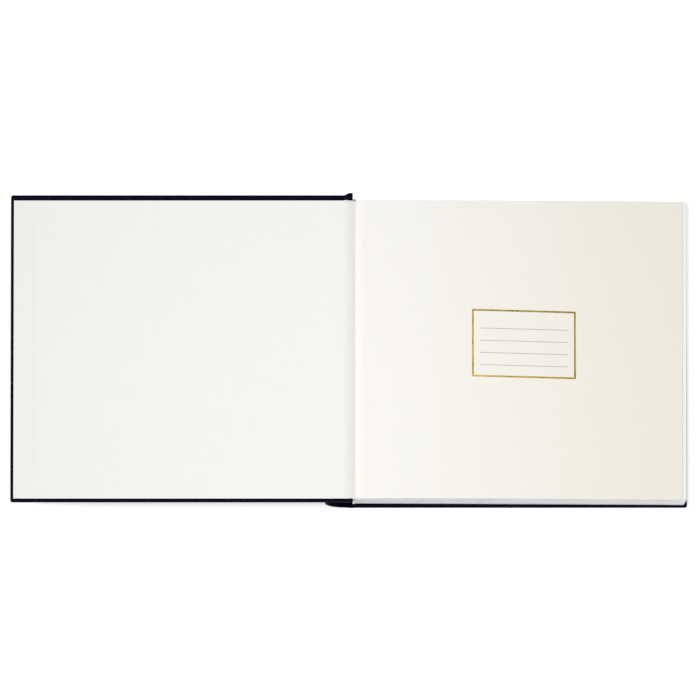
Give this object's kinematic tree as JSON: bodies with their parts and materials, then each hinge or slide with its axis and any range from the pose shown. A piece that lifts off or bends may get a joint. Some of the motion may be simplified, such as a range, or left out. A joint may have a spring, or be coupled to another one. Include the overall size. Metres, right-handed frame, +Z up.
{
  "type": "pilot logbook",
  "caption": "Hardback landscape logbook lying open at its front endpaper, with a cloth case, cream endpapers and sewn white sections.",
  "frame": {"origin": "on the surface the back cover lies on, midway between the two fore edges and midway between head and tail", "axes": "+X from the gutter across the text block to its fore edge, +Y from tail to head, +Z up"},
  "size_m": [0.498, 0.2308, 0.0235],
  "materials": {
    "bookcloth": "dark navy woven book cloth, matt with a faint thread sheen",
    "greyboard": "grey binder's board",
    "endpaper": "cream uncoated endpaper with a printed label frame on the free leaf",
    "text_paper": "white uncoated writing paper",
    "gauze": "open weave cotton mull",
    "kraft_lining": "brown kraft lining paper",
    "sewing_thread": "waxed linen thread",
    "headband_silk": "white worked headband"
  },
  "bodies": {
    "text_block": {"back_cover_cloth": "bookcloth", "back_board": "greyboard", "back_pastedown": "endpaper", "back_joint_cloth": "bookcloth", "back_free_endpaper": "endpaper", "front_endpaper_hinge": "endpaper", "first_leaf_fold": "text_paper", "spine_mull": "gauze", "spine_lining": "kraft_lining", "head_band": "headband_silk", "tail_band": "headband_silk", "sewing_thread_1": "sewing_thread", "sewing_thread_2": "sewing_thread", "sewing_thread_3": "sewing_thread", "sewing_thread_4": "sewing_thread", "sewing_thread_5": "sewing_thread", "section_01_fold": "text_paper", "section_02_fold": "text_paper", "section_03_fold": "text_paper", "section_04_fold": "text_paper", "section_05_fold": "text_paper", "section_06": "text_paper", "section_07": "text_paper", "section_08": "text_paper", "section_09": "text_paper", "section_10": "text_paper", "section_11": "text_paper", "section_12": "text_paper"},
    "spine": {"spine_cloth": "bookcloth", "spine_board": "greyboard"},
    "front_cover": {"front_cover_cloth": "bookcloth", "front_board": "greyboard", "front_pastedown": "endpaper", "front_joint_cloth": "bookcloth"},
    "section_05": {"section_05_leaves": "text_paper"},
    "section_04": {"section_04_leaves": "text_paper"},
    "section_03": {"section_03_leaves": "text_paper"},
    "section_02": {"section_02_leaves": "text_paper"},
    "section_01": {"section_01_leaves": "text_paper"},
    "first_leaf": {"first_leaf": "text_paper"},
    "front_free_leaf": {"front_free_endpaper": "endpaper"}
  },
  "joints": [
    {"name": "spine_tilt", "type": "hinge", "parent": "text_block", "child": "spine", "pos_m": [-0.0015, 0, 0.0009], "axis": [0, -1, 0], "range_deg": [-40.61, 0]},
    {"name": "front_cover_hinge", "type": "hinge", "parent": "spine", "child": "front_cover", "pos_m": [-0.00845, 0, 0.02431], "axis": [0, -1, 0], "range_deg": [-139.4, 0]},
    {"name": "page_turn", "type": "hinge", "parent": "text_block", "child": "section_05", "pos_m": [0, 0, 0.0239], "axis": [0, -1, 0], "range_deg": [0, 140]},
    {"name": "section_04_turn", "type": "hinge", "parent": "text_block", "child": "section_04", "pos_m": [0, 0, 0.0239], "axis": [0, -1, 0], "range_deg": [0, 148.5]},
    {"name": "section_03_turn", "type": "hinge", "parent": "text_block", "child": "section_03", "pos_m": [0, 0, 0.0239], "axis": [0, -1, 0], "range_deg": [0, 155.5]},
    {"name": "section_02_turn", "type": "hinge", "parent": "text_block", "child": "section_02", "pos_m": [0, 0, 0.0239], "axis": [0, -1, 0], "range_deg": [0, 161.8]},
    {"name": "section_01_turn", "type": "hinge", "parent": "text_block", "child": "section_01", "pos_m": [0, 0, 0.0239], "axis": [0, -1, 0], "range_deg": [0, 167.4]},
    {"name": "first_leaf_turn", "type": "hinge", "parent": "text_block", "child": "first_leaf", "pos_m": [0, 0, 0.0239], "axis": [0, -1, 0], "range_deg": [0, 172.3]},
    {"name": "free_endpaper_turn", "type": "hinge", "parent": "text_block", "child": "front_free_leaf", "pos_m": [0, 0, 0.0239], "axis": [0, -1, 0], "range_deg": [0, 177.2]}
  ],
  "couplings": [
    {"joint": "spine_tilt", "follows": "front_cover_hinge", "ratio": 0.29125},
    {"joint": "section_04_turn", "follows": "page_turn", "ratio": 1.06},
    {"joint": "section_03_turn", "follows": "page_turn", "ratio": 1.11},
    {"joint": "section_02_turn", "follows": "page_turn", "ratio": 1.155},
    {"joint": "section_01_turn", "follows": "page_turn", "ratio": 1.195},
    {"joint": "first_leaf_turn", "follows": "page_turn", "ratio": 1.23},
    {"joint": "free_endpaper_turn", "follows": "page_turn", "ratio": 1.265}
  ]
}
